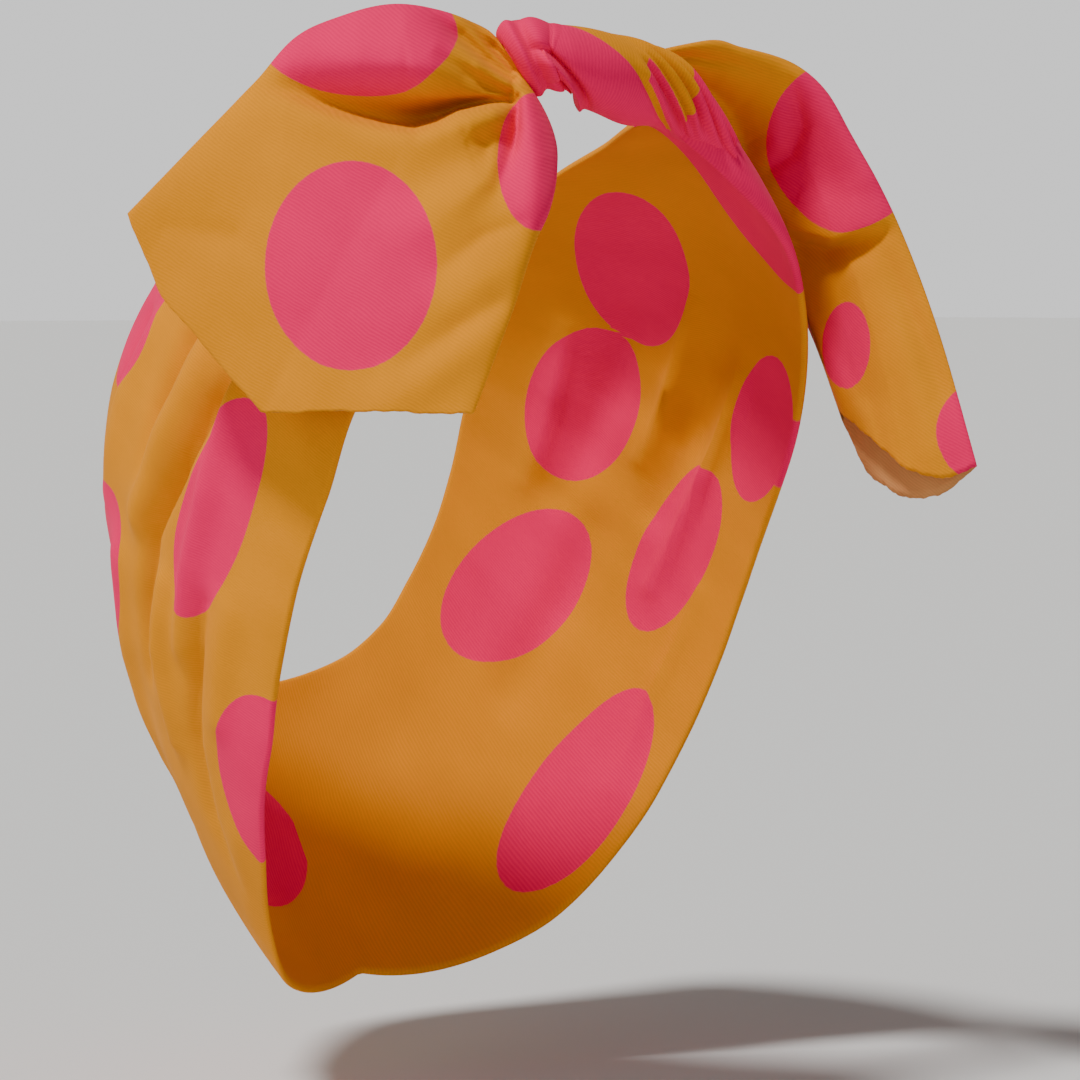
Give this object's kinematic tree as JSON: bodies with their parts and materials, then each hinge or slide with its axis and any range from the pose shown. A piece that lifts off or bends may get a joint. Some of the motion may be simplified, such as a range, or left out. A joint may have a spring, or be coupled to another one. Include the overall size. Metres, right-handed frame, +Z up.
{
  "type": "top knot headband",
  "caption": "Wide jersey headband in its worn shape, gathered into a rolled knot above the forehead, with broad open-ended sleeve tails to either side.",
  "frame": {"origin": "the seat: the point of the head's surface on its middle plane, straight under the knot", "axes": "+Z up as worn, the face looks along -Y, the wearer's right is -X; the height along Z is the longest side"},
  "size_m": [0.19, 0.1704, 0.2323],
  "materials": {
    "head_band": "matte cotton jersey, mustard printed with pink dots",
    "knot_roll": "matte cotton jersey, mustard printed with pink dots",
    "knot_turn": "matte cotton jersey, mustard printed with pink dots",
    "right_tail": "matte cotton jersey, mustard printed with pink dots",
    "left_tail": "matte cotton jersey, mustard printed with pink dots"
  },
  "bodies": {
    "root": {"head_band": "head_band", "knot_roll": "knot_roll", "knot_turn": "knot_turn", "right_tail": "right_tail", "left_tail": "left_tail"}
  },
  "joints": []
}
